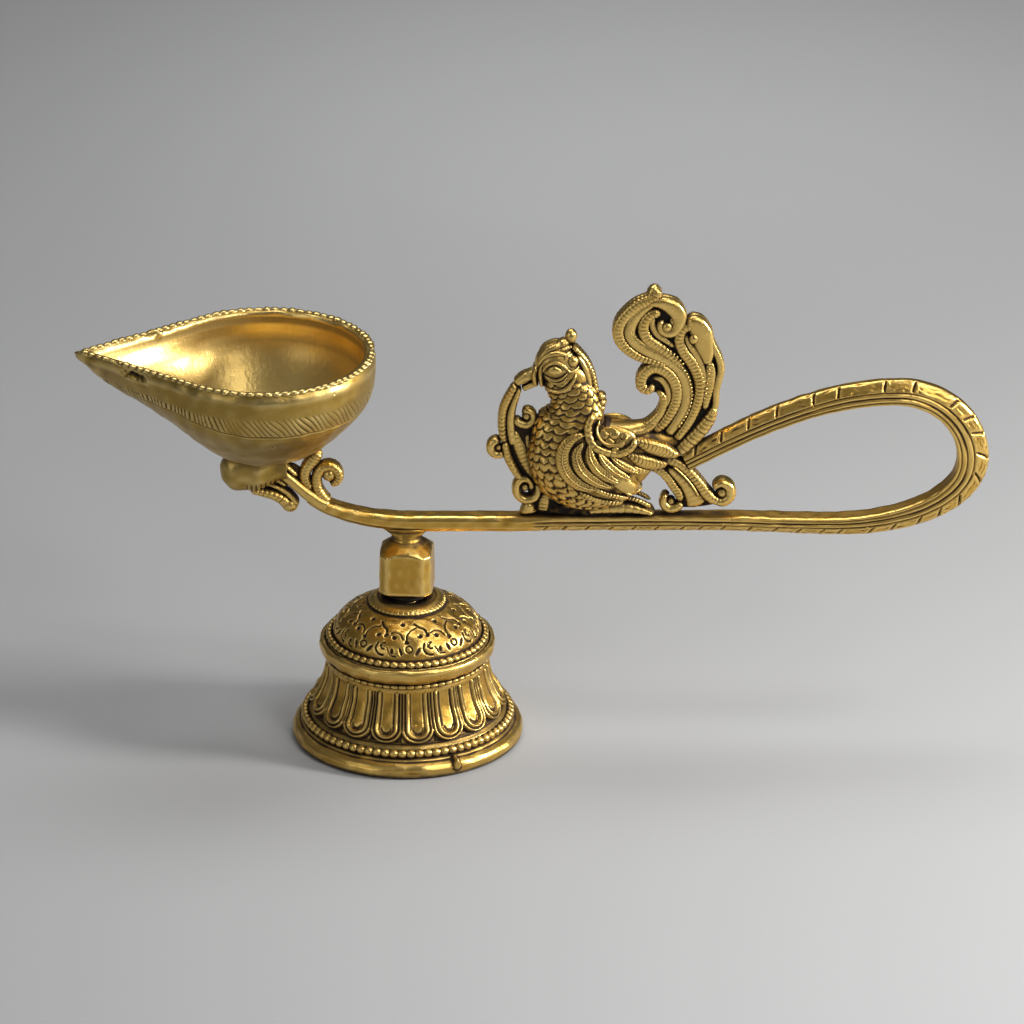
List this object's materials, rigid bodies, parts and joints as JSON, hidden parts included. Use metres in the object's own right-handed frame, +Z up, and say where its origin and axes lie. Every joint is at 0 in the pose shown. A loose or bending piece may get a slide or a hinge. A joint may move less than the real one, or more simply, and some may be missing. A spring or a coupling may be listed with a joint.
{
  "type": "hand oil lamp",
  "caption": "Brass hand-held oil lamp: leaf-shaped bowl on a looped handle with a peacock, screwed on a fluted bell-shaped foot.",
  "frame": {"origin": "on the surface the lamp stands on, under the middle of the whole lamp's box", "axes": "+X along the handle from the bowl to the loop, +Z up, symmetric about the XZ plane"},
  "size_m": [0.2582, 0.0662, 0.1386],
  "materials": {
    "polished_brass": "polished brass, satin, with a casting grain",
    "antique_brass": "antiqued brass with a dark brown patina left in the recesses",
    "plain_brass": "plain turned brass"
  },
  "bodies": {
    "base": {"base_skirt": "antique_brass", "base_dome": "antique_brass", "stem_stud": "plain_brass", "stud_washer": "plain_brass", "stud_nut": "plain_brass"},
    "washer": {"neck_washer": "polished_brass"},
    "arm": {"neck": "polished_brass", "handle_bar": "polished_brass", "bracket_strut": "polished_brass", "bracket_prop": "polished_brass", "bracket_scroll": "polished_brass", "bracket_leaf": "polished_brass", "bowl_seat": "polished_brass", "bowl": "polished_brass", "bowl_rivet": "polished_brass", "peacock_body": "antique_brass", "peacock_beak": "antique_brass", "peacock_crest": "antique_brass", "beak_garland": "antique_brass", "bird_foot": "antique_brass", "tail_plume": "antique_brass", "tail_scroll": "antique_brass", "tail_leaf": "antique_brass", "tail_inner_scroll": "antique_brass"}
  },
  "joints": [
    {"name": "arm_turn", "type": "hinge", "parent": "base", "child": "washer", "pos_m": [-0.0359, 0, 0.045], "axis": [0, 0, 1], "range_deg": [0, 2340]},
    {"name": "arm_rise", "type": "slide", "parent": "washer", "child": "arm", "axis": [0, 0, 1], "range_m": [0, 0.00813]}
  ],
  "couplings": [
    {"joint": "arm_rise", "follows": "arm_turn", "m_per_rad": 0.00019894}
  ]
}
